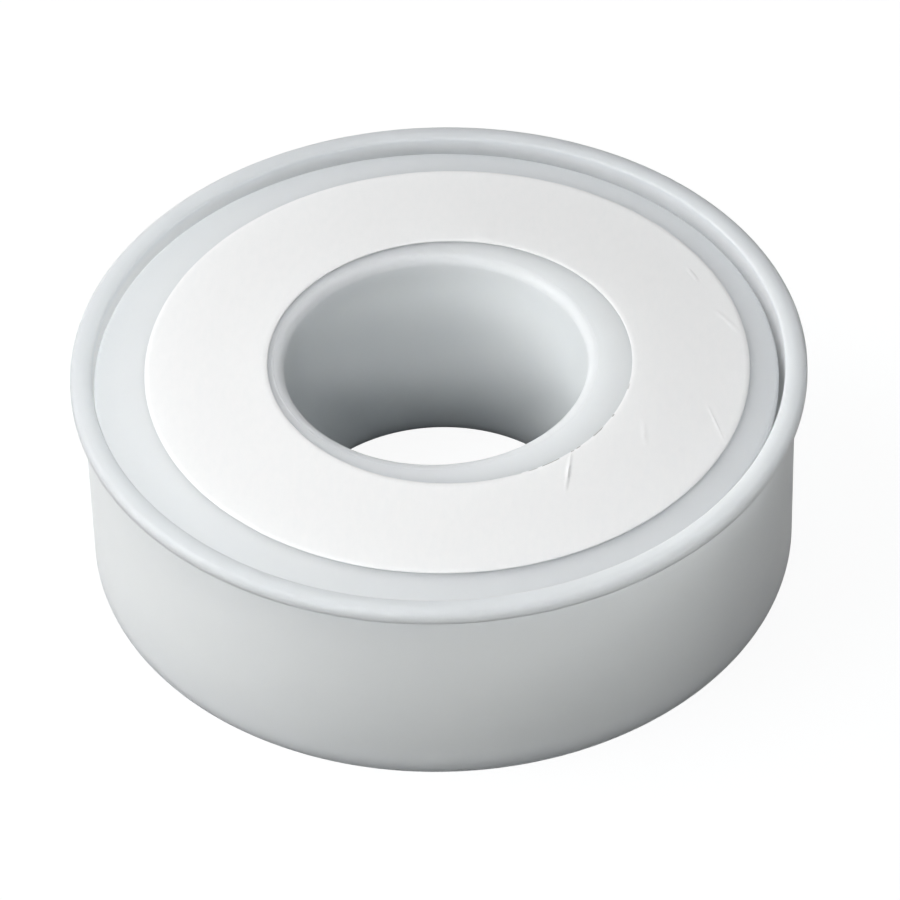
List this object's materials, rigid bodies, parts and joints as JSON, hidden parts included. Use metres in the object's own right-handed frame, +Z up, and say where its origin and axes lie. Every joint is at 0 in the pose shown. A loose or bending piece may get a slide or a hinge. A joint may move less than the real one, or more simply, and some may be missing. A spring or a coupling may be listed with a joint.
{
  "type": "thread seal tape roll",
  "caption": "Roll of thread seal tape in a low round translucent plastic case: a lipped cover, a spool with a dished flange and through bore, the wound tape and a plain ring label.",
  "frame": {"origin": "centre of the cover's base, on the surface that the roll lies on", "axes": "+Z up along the roll's axis, out of the cover's open side; +X to the right and +Y away from the viewer in the picture"},
  "size_m": [0.05, 0.05, 0.0159],
  "materials": {
    "cover_plastic": "natural polypropylene, milky and translucent, satin",
    "spool_plastic": "natural polypropylene, milky and translucent, satin",
    "tape_film": "soft white unsintered PTFE film",
    "label_paper": "smooth white label paper, unprinted"
  },
  "bodies": {
    "cover": {"cover": "cover_plastic"},
    "tape": {"tape": "tape_film"},
    "spool": {"spool": "spool_plastic", "label": "label_paper"}
  },
  "joints": [
    {"name": "spool_pull", "type": "slide", "parent": "cover", "child": "tape", "axis": [0, 0, 1], "range_m": [0, 0.018]},
    {"name": "spool_spin", "type": "hinge", "parent": "tape", "child": "spool", "pos_m": [-0.00018, 0.00011, 0.00772], "axis": [0, 0, 1], "continuous": true}
  ]
}
